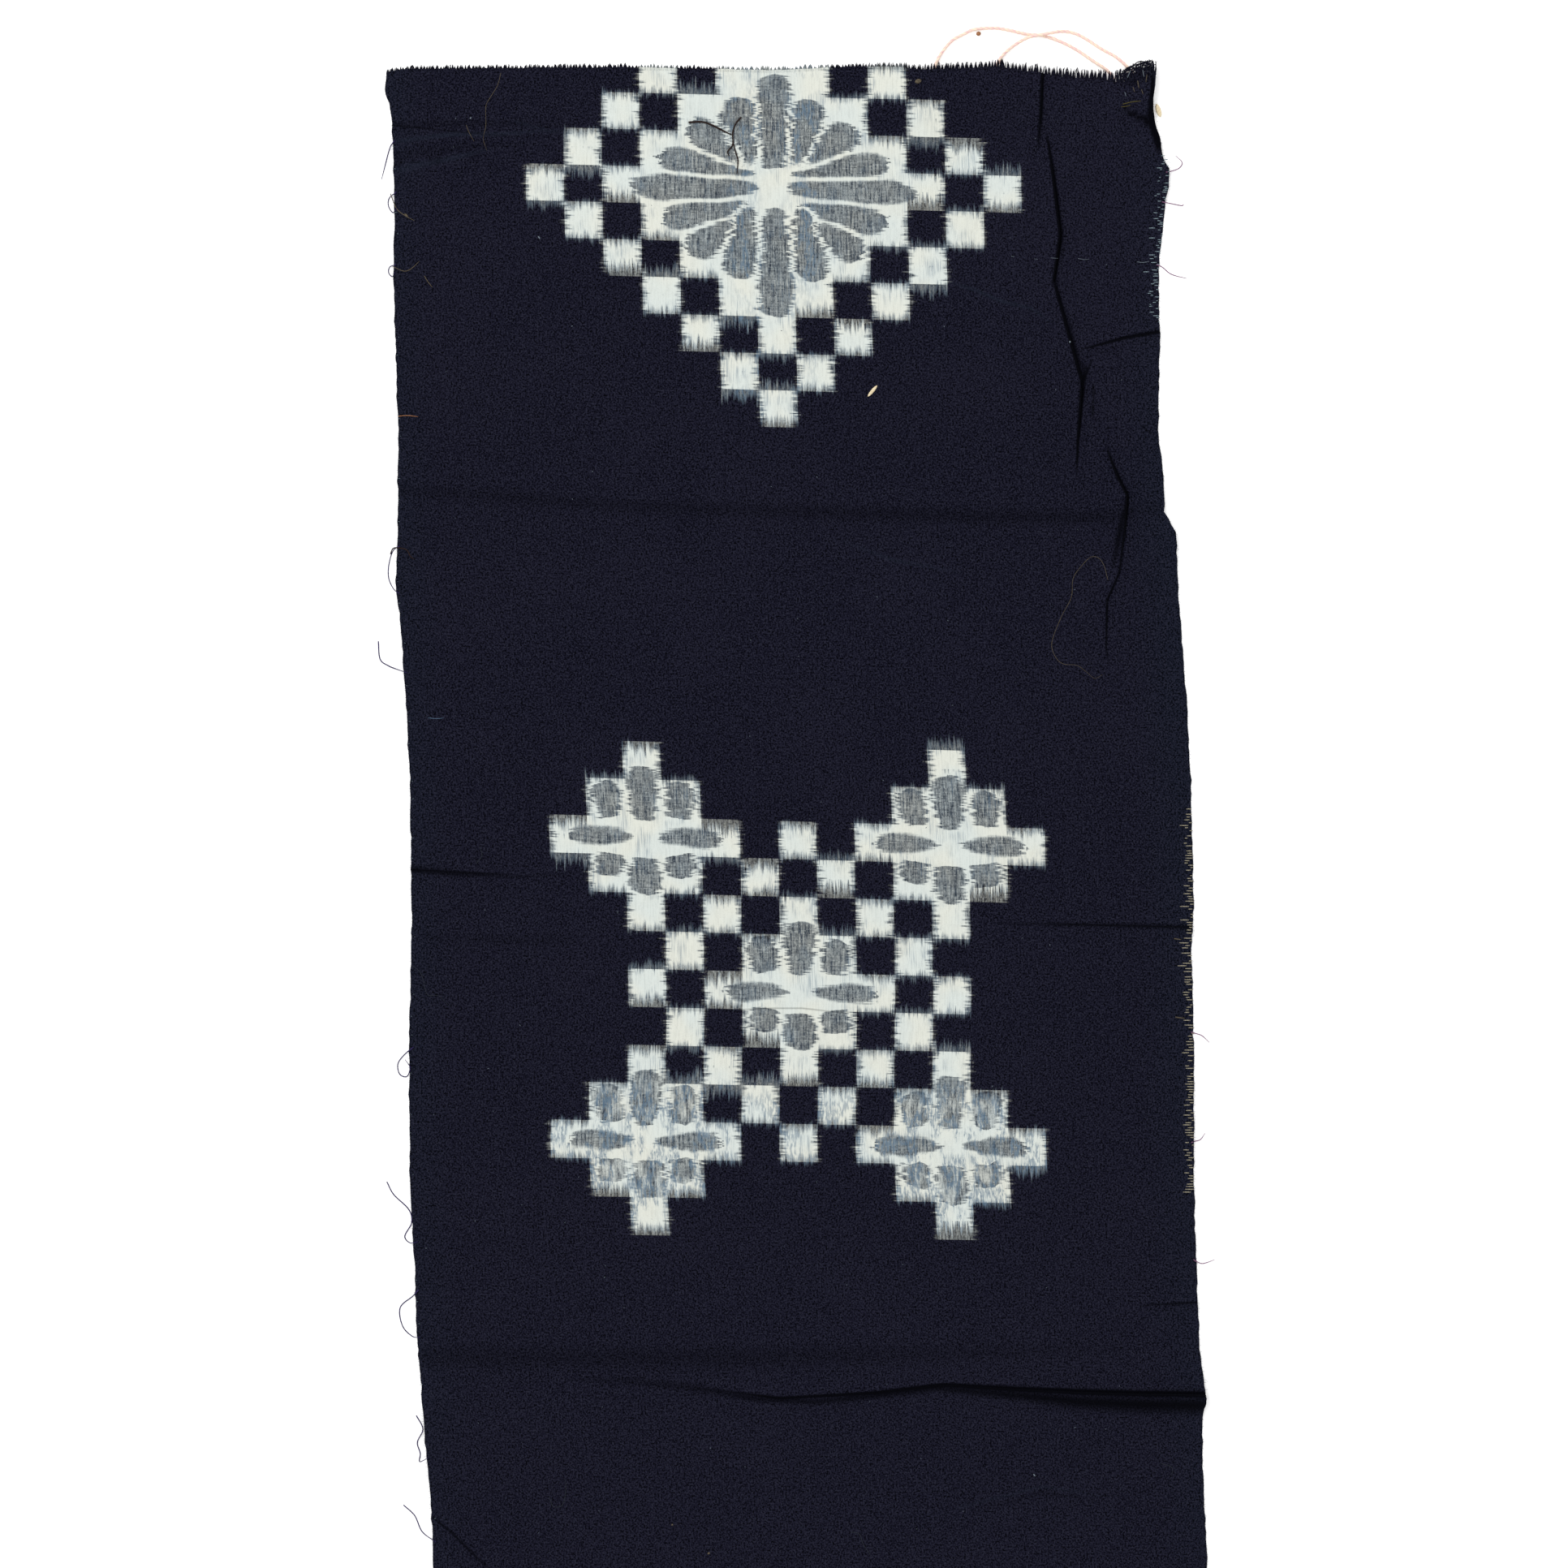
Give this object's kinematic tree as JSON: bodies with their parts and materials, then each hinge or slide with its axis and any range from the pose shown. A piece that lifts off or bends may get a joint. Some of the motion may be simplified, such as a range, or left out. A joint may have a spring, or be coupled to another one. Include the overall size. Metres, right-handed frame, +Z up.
{
  "type": "kasuri cloth length",
  "caption": "Cut length of indigo cotton kasuri, woven with white chequers and chrysanthemums, lying flat in soft storage creases.",
  "frame": {"origin": "on the surface that the cloth lies on, under the middle of the cloth's outline", "axes": "+Y along the warp towards the raw end with the loose threads, +X across the cloth, +Z up from its face"},
  "size_m": [0.3628, 0.7139, 0.0064],
  "materials": {
    "cotton": "matte",
    "thread": "matte"
  },
  "bodies": {
    "root": {"cloth": "cotton", "thread_loop_a": "thread", "thread_loop_b": "thread"}
  },
  "joints": []
}
